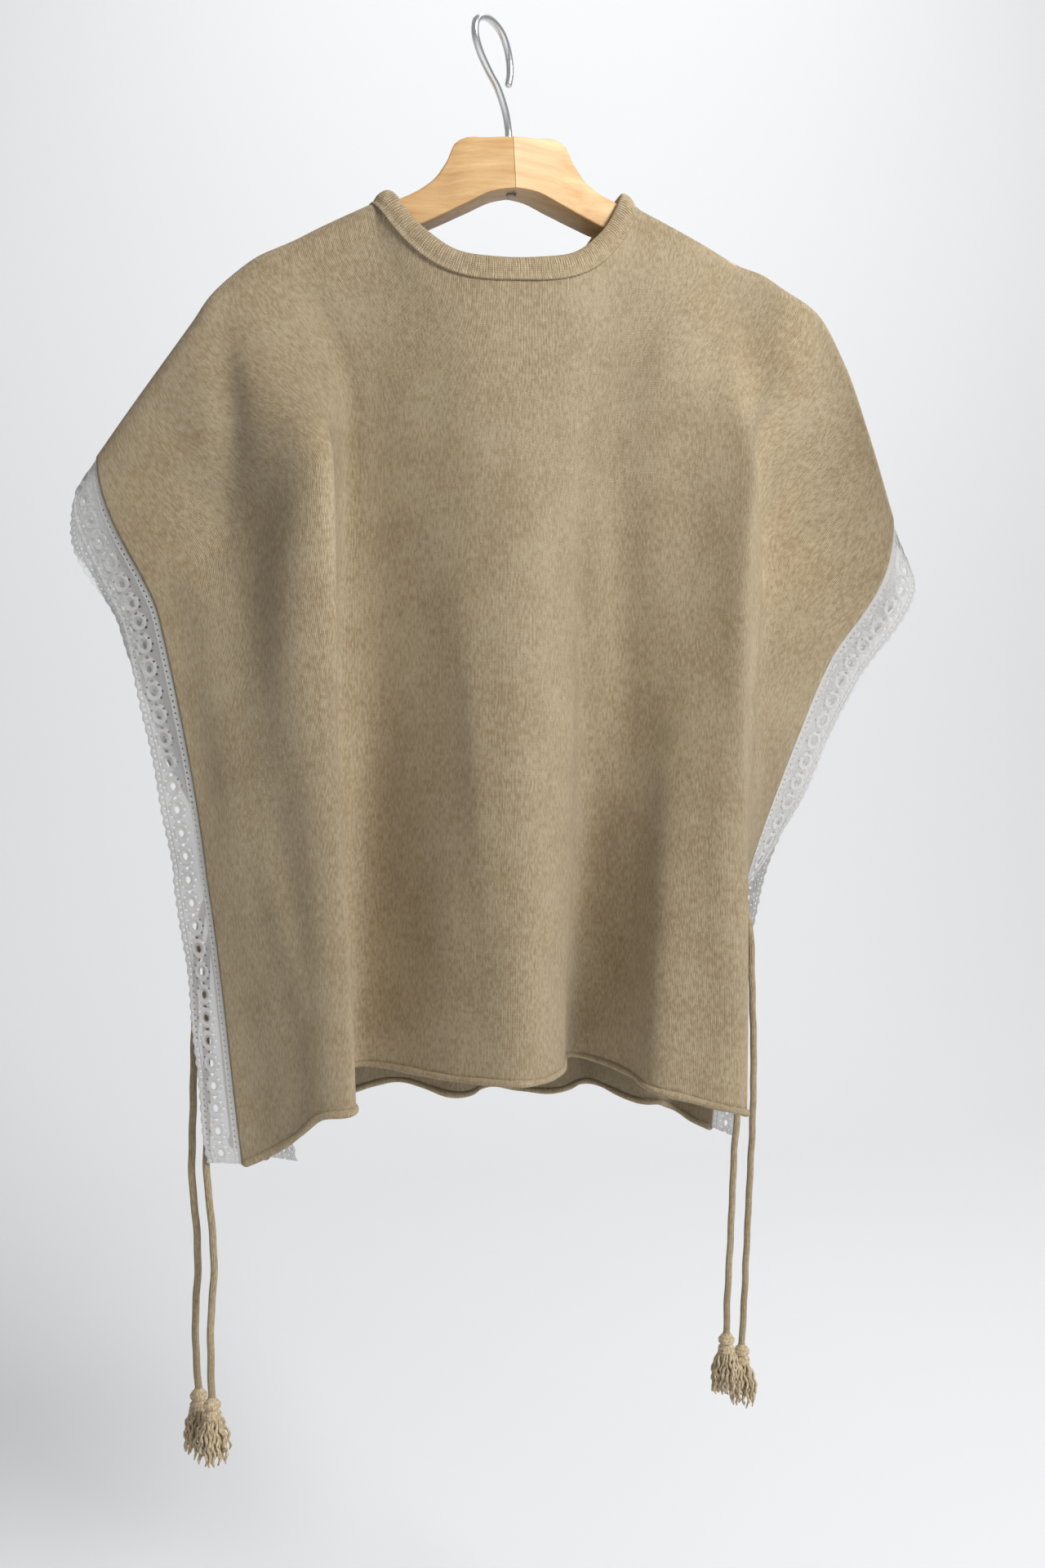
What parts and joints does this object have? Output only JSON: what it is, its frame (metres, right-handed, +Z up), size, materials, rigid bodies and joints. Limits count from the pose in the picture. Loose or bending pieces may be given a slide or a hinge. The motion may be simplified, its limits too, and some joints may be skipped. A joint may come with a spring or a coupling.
{
  "type": "lace-trimmed knit vest on wooden hanger",
  "caption": "Open-sided poncho vest of fine knit with lace down both sides, a folded neckband and tasselled ties, draped on a contoured wooden hanger with a wire hook.",
  "frame": {"origin": "bearing point of the hook, on the inside of the top of its loop", "axes": "+Z up, the garment's front faces -Y, +X towards the right as seen from the front"},
  "size_m": [0.5911, 0.1993, 0.9666],
  "materials": {
    "knit": "matte",
    "lace": "matte",
    "wood": "satin",
    "steel": "satin"
  },
  "bodies": {
    "root": {"front_panel": "knit", "back_panel": "knit", "neckband": "knit", "lace_left": "lace", "lace_right": "lace", "tie_left_front": "knit", "tassel_left_front": "knit", "tie_left_back": "knit", "tassel_left_back": "knit", "tie_right_front": "knit", "tassel_right_front": "knit", "tie_right_back": "knit", "tassel_right_back": "knit", "hanger_arm_left": "wood", "hanger_arm_right": "wood", "hanger_hook": "steel"}
  },
  "joints": []
}
